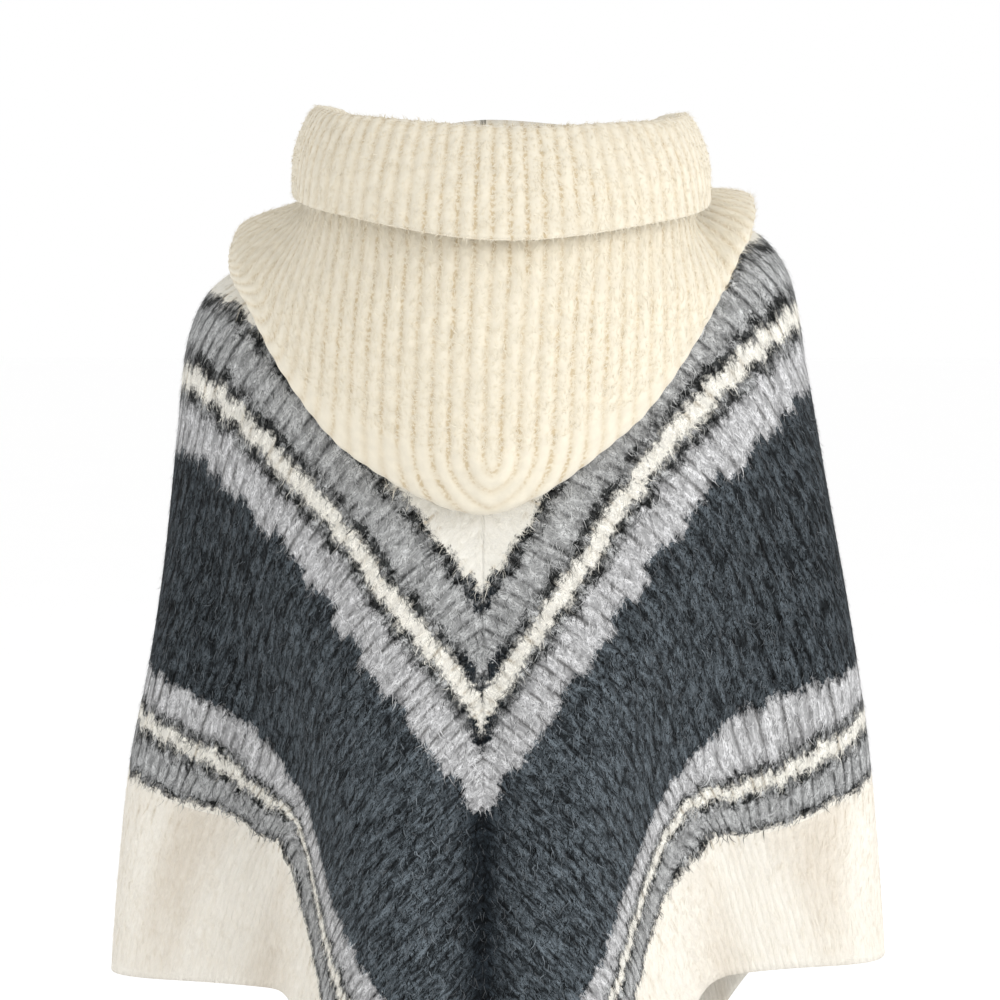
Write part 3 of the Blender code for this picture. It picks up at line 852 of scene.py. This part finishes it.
def stripes_group(colours):
    """Stripe colour from the place on the cut; each rib's stripe ends a little off."""
    tree, entry, result = new_group("Stripes", ("Across", "Depth", "Rib"),
                                    ("Color", "Pale", "Dark"))

    def random_end(label, number):
        level = node(tree, "TexWhiteNoise", label, {"W": number}, noise_dimensions="1D")
        return value(tree, label, "SUBTRACT", level.outputs["Value"], 0.5)

    rib_end = random_end("Rib end", entry["Rib"])
    block = value(tree, "Block", "FLOOR", value(tree, "Blocks", "DIVIDE", entry["Rib"], 2.0))
    block_end = random_end("Block end", block)
    place = point(tree, "Tuft place", entry["Across"], entry["Depth"])
    tufts = noise(tree, "Tufty edges", place, 260.0, 4, 0.7)
    tufts = value(tree, "Tuft", "SUBTRACT", tufts, 0.5)
    from_edge = value(tree, "From charcoal", "SUBTRACT", entry["Depth"], CHARCOAL_START)
    from_edge = value(tree, "Distance", "ABSOLUTE", from_edge)
    ragged = ranged(tree, "Ragged edge", from_edge, 10 * MM, 20 * MM, 8 * MM, 0.0)
    depth = value(tree, "Rib shift", "MULTIPLY_ADD", rib_end, 4.5 * MM, entry["Depth"])
    depth = value(tree, "Block shift", "MULTIPLY_ADD", block_end, ragged, depth)
    depth = value(tree, "Tufted", "MULTIPLY_ADD", tufts, 20 * MM, depth)

    halves = []
    for label, start, first, last in (("Upper stripes", 0.0, 0, 7),
                                      ("Lower stripes", CHARCOAL_START, 7, 14)):
        stops, whole = stripe_stops(colours, first, last)
        factor = ranged(tree, label, depth, start, start + whole)
        halves.append(ramp(tree, label, factor, stops).outputs)
    upper, lower = halves
    in_lower = value(tree, "In charcoal", "GREATER_THAN", depth, CHARCOAL_START + 60 * MM)
    colour = mixed(tree, "All stripes", in_lower, upper[0], lower[0])
    line = between(tree, "Lines", in_lower, upper[1], lower[1])
    blotch = noise(tree, "Blotchy lines", place, 75.0, 3, 0.6)
    blotch = ranged(tree, "Faded", blotch, 0.45, 0.68, 0.0, 0.55)
    faded = value(tree, "Faded lines", "MULTIPLY", line, blotch)
    colour = mixed(tree, "Blotchy stripes", faded, colour, colours["mid_grey"])

    brightness = node(tree, "RGBToBW", "Brightness", {0: colour}).outputs[0]
    pale = value(tree, "Pale bands", "ADD",
                 value(tree, "Hem band", "GREATER_THAN", depth, HEM_START),
                 value(tree, "Yoke", "LESS_THAN", depth, YOKE_DEPTH))
    soft_white = ranged(tree, "White stripes", brightness, 0.55, 0.75, 0.0, 0.6)
    hand_out(tree, result, Color=colour, Pale=value(tree, "Pale", "MAXIMUM", pale, soft_white),
             Dark=ranged(tree, "Darkness", brightness, 0.05, 0.25, 1.0, 0.0))


def panel_knit_group():
    """Colour and relief of the striped knit, for its cloth and its fibres, with painted shade."""
    tree, entry, result = new_group("Panel knit", ("Across", "Depth", "Pitch"),
                                    ("Color", "Height", "Dark", "Pale"))
    across, depth = entry["Across"], entry["Depth"]
    ribs = use_group(tree, "Knit ribs", Across=across, Depth=depth, Pitch=entry["Pitch"],
                     Waver=0.55)
    stripes = use_group(tree, "Stripes", Across=across, Depth=depth, Rib=ribs["Rib"])
    colour, dark, pale = stripes["Color"], stripes["Dark"], stripes["Pale"]

    # Painted shade: the gaps between the fine ribs darken to a fifth of the stripe colour, or to a
    # tan in the pale bands; few of them open low in the hem.
    opened = ranged(tree, "Open gaps", ribs["Open"], 0.40, 0.56)
    gap = value(tree, "Gap", "MULTIPLY", ribs["Gap"], opened)
    smooth = ranged(tree, "Smooth low hem", depth, HEM_START, PANEL_DEPTH - 75 * MM, 0.75, 0.05)
    broken = ranged(tree, "Few gaps in the hem", ribs["Open"], 0.50, 0.62)
    smooth = value(tree, "Hem gaps", "MULTIPLY", smooth, broken)
    strength = between(tree, "Gap strength", pale, 0.95, smooth)
    gap = value(tree, "Gap shade", "MULTIPLY", gap, strength)
    dim = mixed(tree, "Stripe in painted gap shade", 1.0, colour, (0.20, 0.20, 0.20, 1.0), "MULTIPLY")
    gap_shade_colour = mixed(tree, "Painted gap shade colour", pale, dim, PALE_GAP_SHADE)
    colour = mixed(tree, "Gaps", gap, colour, gap_shade_colour)

    # Painted shade: the dark bands darken where the cloth turns to the sides of the body, near the
    # middle of the cut.
    side = value(tree, "From the middle", "ABSOLUTE", across)
    side = ranged(tree, "Painted shade at the sides", side, 150 * MM, 420 * MM, 0.45, 0.0)
    side = value(tree, "Side share", "MULTIPLY", side, dark)
    colour = mixed(tree, "Painted side shade", side, colour, (0, 0, 0, 1))

    # Painted shade: the dark bands darken almost to black in the valley along the back seam.
    edge = value(tree, "Mitre edge", "MULTIPLY_ADD", depth, 1 / np.tan(MITRE), NECK_HALF)
    to_seam = value(tree, "To the back seam", "ADD", edge, across)
    crease = ranged(tree, "Near the back seam", to_seam, 8 * MM, 60 * MM, 1.0, 0.0)
    crease = value(tree, "Sharper near the seam", "POWER", crease, 1.8)
    crease = value(tree, "Seam shade on dark bands", "MULTIPLY", dark, crease)
    crease = value(tree, "Seam shade strength", "MULTIPLY", crease, 0.99)
    colour = mixed(tree, "Painted seam shade", crease, colour, (0.003, 0.004, 0.005, 1.0))

    # Painted shade: soft brownish troughs of the hem's folds, laid out by noise.
    long = value(tree, "Long troughs", "MULTIPLY", depth, 0.22)
    trough_shade = noise(tree, "Soft troughs", point(tree, "Trough place", across, long), 11.0, 2)
    trough_shade = ranged(tree, "Trough shade", trough_shade, 0.34, 0.54, 0.50, 0.0)
    in_hem = value(tree, "In the hem", "GREATER_THAN", depth, HEM_START + 5 * MM)
    trough_shade = value(tree, "Hem troughs", "MULTIPLY", trough_shade, in_hem)
    colour = mixed(tree, "Shaded troughs", trough_shade, colour, HEM_TROUGH_SHADE)
    hand_out(tree, result, Color=colour, Height=ribs["Height"], Dark=dark, Pale=pale)


def new_material(name, sheen):
    """Matt wool; its sheen is the light that stands in the finest fibres."""
    material = bpy.data.materials.new(name)
    material.use_nodes = True
    shader = material.node_tree.nodes["Principled BSDF"]
    shader.inputs["Roughness"].default_value = 0.92
    shader.inputs["Specular IOR Level"].default_value = 0.08
    shader.inputs["Sheen Weight"].default_value = sheen
    shader.inputs["Sheen Roughness"].default_value = 0.55
    return material, material.node_tree, shader


def cut_place(tree):
    """Places across the ribs and along them, from the map of the cut."""
    cut = node(tree, "UVMap", "Place on the cut", uv_map="Cut").outputs[0]
    parts = node(tree, "SeparateXYZ", "Across and depth", {0: cut})
    return parts.outputs[0], parts.outputs[1]


def fibre_tone(tree):
    """Random level that each fibre keeps along its length."""
    tone = node(tree, "UVMap", "Fibre tone", uv_map="Tone").outputs[0]
    return node(tree, "SeparateXYZ", "Tone", {0: tone}).outputs[0]


def by_band(tree, wool, even, dark, pale):
    """Level of the grey stripes, the dark bands or the pale bands."""
    tone = between(tree, "Dark or not", wool["Dark"], even, dark)
    return between(tree, "Pale or not", wool["Pale"], tone, pale)


def relief(tree, shader, label, height, strength):
    """Bumps of the knit, up to 1 mm high."""
    bump = node(tree, "Bump", label, {"Height": height, "Strength": strength,
                                      "Distance": 1.0 * MM})
    tree.links.new(bump.outputs[0], shader.inputs["Normal"])


def panel_material(knit):
    """Striped wool knit: fine ribs along the brushing, gaps between them and hairs."""
    material, tree, shader = new_material("Striped brushed wool", PANEL_SHEEN)
    across, depth = cut_place(tree)
    wool = use_group(tree, "Panel knit", Across=across, Depth=depth, Pitch=knit.panel_rib_pitch)
    hair = use_group(tree, "Brushed hairs", Across=across, Depth=depth)["Hair"]
    tone = by_band(tree, wool, ranged(tree, "Even tone", hair, 0.0, 1.0, 0.50, 1.7),
                   ranged(tree, "Strong tone", hair, 0.0, 1.0, 0.25, 10.0),
                   ranged(tree, "Faint tone", hair, 0.0, 1.0, 0.93, 1.06))
    tree.links.new(toned(tree, wool["Color"], tone), shader.inputs["Base Color"])
    height = value(tree, "Ribs and hairs", "MULTIPLY_ADD", hair, 0.5, wool["Height"])
    relief(tree, shader, "Knit relief", height, 0.6)
    return material


def panel_fibre_material(knit, colours):
    """Loose fibres of the panels, each in the stripe colour and painted shade of its root."""
    material, tree, shader = new_material("Striped wool nap", PANEL_SHEEN)
    across, depth = cut_place(tree)
    wool = use_group(tree, "Panel knit", Across=across, Depth=depth, Pitch=knit.panel_rib_pitch)
    tone = fibre_tone(tree)
    few = value(tree, "Few light hairs", "POWER", tone, 4.0)
    bright = by_band(tree, wool, ranged(tree, "Even tone", tone, 0.1, 1.0, 0.42, 1.55),
                     value(tree, "Strong tone", "MULTIPLY_ADD", few, 10.0, 0.12), 1.0)
    light_hair = value(tree, "Light hair", "GREATER_THAN", tone, 0.72)
    share = value(tree, "Light hairs in dark bands", "MULTIPLY", light_hair, wool["Dark"])
    share = value(tree, "Light hair share", "MULTIPLY", share, 0.10)
    colour = mixed(tree, "Light hairs", share, toned(tree, wool["Color"], bright),
                   colours["light_grey"])
    tree.links.new(colour, shader.inputs["Base Color"])
    return material


def hood_material(knit, colours):
    """Cream rib knit; the knit's loops show in the gaps between its ribs, with darker cream and tan
    there as painted shade.
    """
    material, tree, shader = new_material("Cream brushed rib", CREAM_SHEEN)
    across, depth = cut_place(tree)
    ribs = use_group(tree, "Knit ribs", Across=across, Depth=depth, Waver=0.38,
                     Pitch=knit.hood_rib_pitch)
    spot = node(tree, "TexCoord", "Place").outputs["Object"]
    # Loops of the knit in the narrow gaps between the ribs; their tan is painted shade, stronger
    # towards the middle of the back.
    loop = ranged(tree, "Loop marks", noise(tree, "Loops", spot, 400.0, 2), 0.42, 0.60)
    patch = ranged(tree, "Open patches", noise(tree, "Brushed over", spot, 16.0, 3),
                   0.38, 0.60, 0.12, 1.0)
    level = node(tree, "SeparateXYZ", "Across the back", {0: spot}).outputs[0]
    level = value(tree, "From the middle", "ABSOLUTE", level)
    middle = ranged(tree, "Stronger loop shade in the middle", level, 30 * MM, 150 * MM, 1.5, 0.75)
    valley = value(tree, "Valley", "SUBTRACT", 1.0, ribs["Height"])
    gap = value(tree, "Narrow valley", "POWER", valley, 3.0)
    gap = value(tree, "Loops in gaps", "MULTIPLY", gap, loop)
    gap = value(tree, "Open loops", "MULTIPLY", gap, patch)
    gap = value(tree, "Loops by place", "MULTIPLY", gap, middle, clamp=True)
    # Painted shade: the valleys between the ribs take a darker cream.
    base = mixed(tree, "Painted valley shade", value(tree, "Tint", "MULTIPLY", valley, 0.45),
                 colours["cream"], colours["cream_valley"])
    base = mixed(tree, "Tan loop shade", value(tree, "Tan", "MULTIPLY", gap, 0.62), base,
                 colours["tan"])
    soft = noise(tree, "Brushed tone", spot, 120.0, 4)
    tone = ranged(tree, "Tone", soft, 0.3, 0.7, 0.94, 1.05)
    tree.links.new(toned(tree, base, tone), shader.inputs["Base Color"])
    height = value(tree, "Ribs and hairs", "MULTIPLY_ADD", soft, 0.3, ribs["Height"])
    relief(tree, shader, "Rib relief", height, 0.30)
    return material


def hood_fibre_material(colours):
    """Loose cream fibres of the hood and band."""
    material, tree, shader = new_material("Cream nap", CREAM_SHEEN)
    pale = tuple(min(1.0, 1.06 * part) for part in colours["cream"])
    colour = mixed(tree, "Fibre colour", fibre_tone(tree), colours["cream"], pale)
    tree.links.new(colour, shader.inputs["Base Color"])
    return material


def floor_material(colour, glow):
    """Matt pale floor with a faint unevenness and a faint light of its own."""
    material = bpy.data.materials.new("Pale floor")
    material.use_nodes = True
    tree = material.node_tree
    shader = tree.nodes["Principled BSDF"]
    shader.inputs["Roughness"].default_value = 0.9
    place = node(tree, "TexCoord", "Place").outputs["Object"]
    shade = mixed(tree, "Floor colour", noise(tree, "Unevenness", place, 2.0, 2),
                  colour + (1.0,), tuple(0.985 * part for part in colour) + (1.0,))
    tree.links.new(shade, shader.inputs["Base Color"])
    tree.links.new(shade, shader.inputs["Emission Color"])
    shader.inputs["Emission Strength"].default_value = glow
    return material


# Settings and operators

def colour_setting(name, description, *colour):
    """Colour property whose default is given as an sRGB colour from 0 to 255."""
    return bpy.props.FloatVectorProperty(name=name, description=description, size=3,
                                         subtype="COLOR", default=linear(*colour))


def length_setting(name, description, default, least, most):
    """Length property whose numbers are given in millimetres."""
    return bpy.props.FloatProperty(name=name, description=description, default=default * MM,
                                   min=least * MM, max=most * MM, unit="LENGTH")


def fibre_count(name, place, default):
    """Property for the number of loose fibres on a cloth."""
    return bpy.props.IntProperty(name=name, description="Number of fibres on " + place,
                                 default=default, min=1, max=65000)


class PonchoColours(bpy.types.PropertyGroup):
    white: colour_setting("White", "Yoke and white stripes", 240, 237, 228)
    cream: colour_setting("Cream", "Ribs of the hood", 233, 225, 206)
    # Painted shade of the hood's cream between its ribs
    cream_valley: colour_setting(
        "Painted shade between ribs", "Cream of the hood in painted shade between its ribs", 217, 203, 176)
    # Tan of the loops between the hood's ribs, as painted shade
    tan: colour_setting("Tan loop shade", "Loops between the hood's ribs, tan as painted shade", 186, 162, 118)
    hem_cream: colour_setting("Hem cream", "Wide band at the hem", 248, 243, 232)
    light_grey: colour_setting("Light grey", "Light grey stripes", 197, 197, 198)
    mid_grey: colour_setting("Mid grey", "Mid grey stripes", 178, 179, 179)
    black: colour_setting("Black", "Thin black lines", 26, 27, 27)
    charcoal: colour_setting("Charcoal", "Wide charcoal band", 39, 43, 46)


class PonchoKnit(bpy.types.PropertyGroup):
    hood_rib_pitch: length_setting(
        "Hood rib pitch", "Distance between the hood's ribs", 11.6, 6, 30)
    hood_rib_height: length_setting(
        "Hood rib height", "How far the hood's ribs stand out", 0.7, 0, 4)
    panel_rib_pitch: length_setting(
        "Panel rib pitch", "Distance between the panels' fine ribs", 8.6, 2, 12)
    wall: length_setting(
        "Cloth thickness", "Thickness of the knit without its nap", 3.5, 1, 5)
    fibre_length: length_setting(
        "Fibre length", "Mean length of the loose fibres", 8.0, 1, 15)
    panel_fibres: fibre_count("Panel fibres", "each panel", 62000)
    hood_fibres: fibre_count("Hood fibres", "the hood", 40000)
    band_fibres: fibre_count("Band fibres", "the hood band", 16000)


class PonchoStage(bpy.types.PropertyGroup):
    floor_colour: bpy.props.FloatVectorProperty(
        name="Floor colour", description="Colour of the pale floor", size=3,
        subtype="COLOR", default=(0.96, 0.96, 0.96))
    floor_glow: bpy.props.FloatProperty(
        name="Floor glow", description="Light that the floor itself gives", default=0.26,
        min=0.0, max=1.0)
    key_power: bpy.props.FloatProperty(
        name="Key power", description="Power of the large light at the right", default=38.0,
        min=0.0, unit="POWER")
    fill_power: bpy.props.FloatProperty(
        name="Fill power", description="Power of the large light at the left", default=5.0,
        min=0.0, unit="POWER")
    sky: bpy.props.FloatProperty(
        name="Sky brightness", description="Brightness of the even light all round",
        default=0.78, min=0.0)


def colour_table():
    """The set colours by name, as plain tuples with a full alpha."""
    colours = bpy.context.scene.poncho_colours
    return {name: tuple(getattr(colours, name)) + (1.0,) for name in PonchoColours.__annotations__}


def make_groups():
    """Shared node groups, made once."""
    if "Stripes" in bpy.data.node_groups:
        return
    hairs_group()
    ribs_group()
    stripes_group(colour_table())
    panel_knit_group()


def give(piece, material):
    """Material and body of a piece."""
    piece.data.materials.clear()
    piece.data.materials.append(material)
    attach(piece, "root")


class PONCHO_OT_body_panels(bpy.types.Operator):
    """Two striped panels, draped from their flat cut, with their brushed nap"""
    bl_idname = "poncho.body_panels"
    bl_label = "Body panels"

    def execute(self, context):
        make_groups()
        knit = context.scene.poncho_knit
        cloth, nap = panel_material(knit), panel_fibre_material(knit, colour_table())
        for side, sign, seed in (("left", -1, 11), ("right", 1, 12)):
            points, cut = panel_points(side, *PANEL_GRID)
            middle = (PANEL_GRID[1] // 2, PANEL_GRID[0] // 2, (sign, 0, 0))
            piece = cloth_piece("striped_panel_" + side, points, cut, middle)
            thicken(piece, knit.wall)
            give(piece, cloth)
            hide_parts("body_" + side)
            weight = np.ones(points.shape[:2])
            weight[-BARE_HEM_ROWS:] = 0.0
            fibres = fibre_piece("panel_nap_" + side, points, cut, middle, weight,
                                 knit.panel_fibres, seed, knit.fibre_length, PANEL_NAP)
            give(fibres, nap)
        return {"FINISHED"}


class PONCHO_OT_hood(bpy.types.Operator):
    """Ribbed hood and its turned-back band, with their brushed nap"""
    bl_idname = "poncho.hood"
    bl_label = "Hood and band"

    def execute(self, context):
        make_groups()
        knit = context.scene.poncho_knit
        colours = colour_table()
        cloth, nap = hood_material(knit, colours), hood_fibre_material(colours)
        surfaces = hood_surfaces(knit.hood_rib_pitch, knit.hood_rib_height)
        pieces = (("ribbed_hood", "hood", knit.hood_fibres, 21, 0.5, surfaces[0]),
                  ("hood_band", "hood_brim", knit.band_fibres, 22, 0.2, surfaces[1]))
        for name, node_name, count, seed, nap_from, (points, cut) in pieces:
            rows, columns = points.shape[:2]
            outward = facing_back(points)
            piece = cloth_piece(name, points, cut, outward)
            thicken(piece, knit.wall)
            give(piece, cloth)
            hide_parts(node_name)
            weight = np.ones(points.shape[:2])
            weight[:int(nap_from * rows)] = 0.0
            fibres = fibre_piece(name + "_nap", points, cut, outward, weight, count, seed,
                                 knit.fibre_length, HOOD_NAP)
            give(fibres, nap)
        return {"FINISHED"}


class PONCHO_OT_studio(bpy.types.Operator):
    """Pale floor, soft lights and the camera at the photo's viewing angle"""
    bl_idname = "poncho.studio"
    bl_label = "Studio"

    def execute(self, context):
        stage = context.scene.poncho_stage
        clear_selection()
        bpy.ops.mesh.primitive_circle_add(vertices=96, radius=FLOOR_RADIUS, fill_type="NGON",
                                          location=(0, 0, 0))
        floor = context.object
        floor.name = floor.data.name = "studio_floor"
        height = CAD_BOX[0][2] - FLOOR_GAP
        for vertex in floor.data.vertices:
            vertex.co.z = height
        floor.data.materials.append(floor_material(tuple(stage.floor_colour), stage.floor_glow))

        for name, place, size, power in LIGHTS:
            light = bpy.data.lights.new(name, "AREA")
            light.shape = "DISK"
            light.size = size
            light.energy = getattr(stage, power)
            lamp = bpy.data.objects.new(name, light)
            lamp.location = place
            aim = Vector(LIGHT_AIM) - lamp.location
            lamp.rotation_euler = aim.to_track_quat("-Z", "Y").to_euler()
            context.scene.collection.objects.link(lamp)

        world = bpy.data.worlds.new("Even studio light")
        context.scene.world = world
        world.use_nodes = True
        sky = world.node_tree.nodes["Background"]
        sky.inputs["Color"].default_value = (1, 1, 1, 1)
        seen = node(world.node_tree, "LightPath", "Seen by the camera").outputs["Is Camera Ray"]
        strength = between(world.node_tree, "White backdrop", seen, stage.sky, 1.0)
        world.node_tree.links.new(strength, sky.inputs["Strength"])

        context.scene.view_settings.view_transform = "Standard"

        lens = bpy.data.cameras.new("photo_camera")
        lens.sensor_width = SENSOR
        lens.lens = SENSOR * CAMERA_DISTANCE / FRAME_WIDTH
        camera = bpy.data.objects.new("photo_camera", lens)
        camera.location = (FRAME_CENTRE[0], -CAMERA_DISTANCE * np.cos(CAMERA_TILT),
                           FRAME_CENTRE[1] + CAMERA_DISTANCE * np.sin(CAMERA_TILT))
        camera.rotation_euler = (np.pi / 2 - CAMERA_TILT, 0, 0)
        context.scene.collection.objects.link(camera)
        context.scene.camera = camera
        return {"FINISHED"}


class PONCHO_PT_sidebar(bpy.types.Panel):
    """Lists the poncho's pieces and settings"""
    bl_label = "Hooded poncho"
    bl_idname = "PONCHO_PT_sidebar"
    bl_space_type = "VIEW_3D"
    bl_region_type = "UI"
    bl_category = "Poncho"

    def draw(self, context):
        for operator in OPERATORS:
            self.layout.operator(operator.bl_idname)
        for group in (context.scene.poncho_colours, context.scene.poncho_knit,
                      context.scene.poncho_stage):
            for name in group.bl_rna.properties.keys():
                if name not in ("rna_type", "name"):
                    self.layout.prop(group, name)


OPERATORS = (PONCHO_OT_body_panels, PONCHO_OT_hood, PONCHO_OT_studio)
GROUPS = (("poncho_colours", PonchoColours), ("poncho_knit", PonchoKnit),
          ("poncho_stage", PonchoStage))


def register():
    """Adds the settings, operators and sidebar to Blender."""
    for name, group in GROUPS:
        bpy.utils.register_class(group)
        setattr(bpy.types.Scene, name, bpy.props.PointerProperty(type=group))
    for item in OPERATORS + (PONCHO_PT_sidebar,):
        bpy.utils.register_class(item)


def unregister():
    """Takes them out again."""
    for item in OPERATORS + (PONCHO_PT_sidebar,):
        bpy.utils.unregister_class(item)
    for name, group in GROUPS:
        delattr(bpy.types.Scene, name)
        bpy.utils.unregister_class(group)


def main():
    """Builds the poncho and its studio."""
    register()
    bpy.ops.poncho.body_panels()
    bpy.ops.poncho.hood()
    bpy.ops.poncho.studio()


if __name__ == "__main__":
    main()
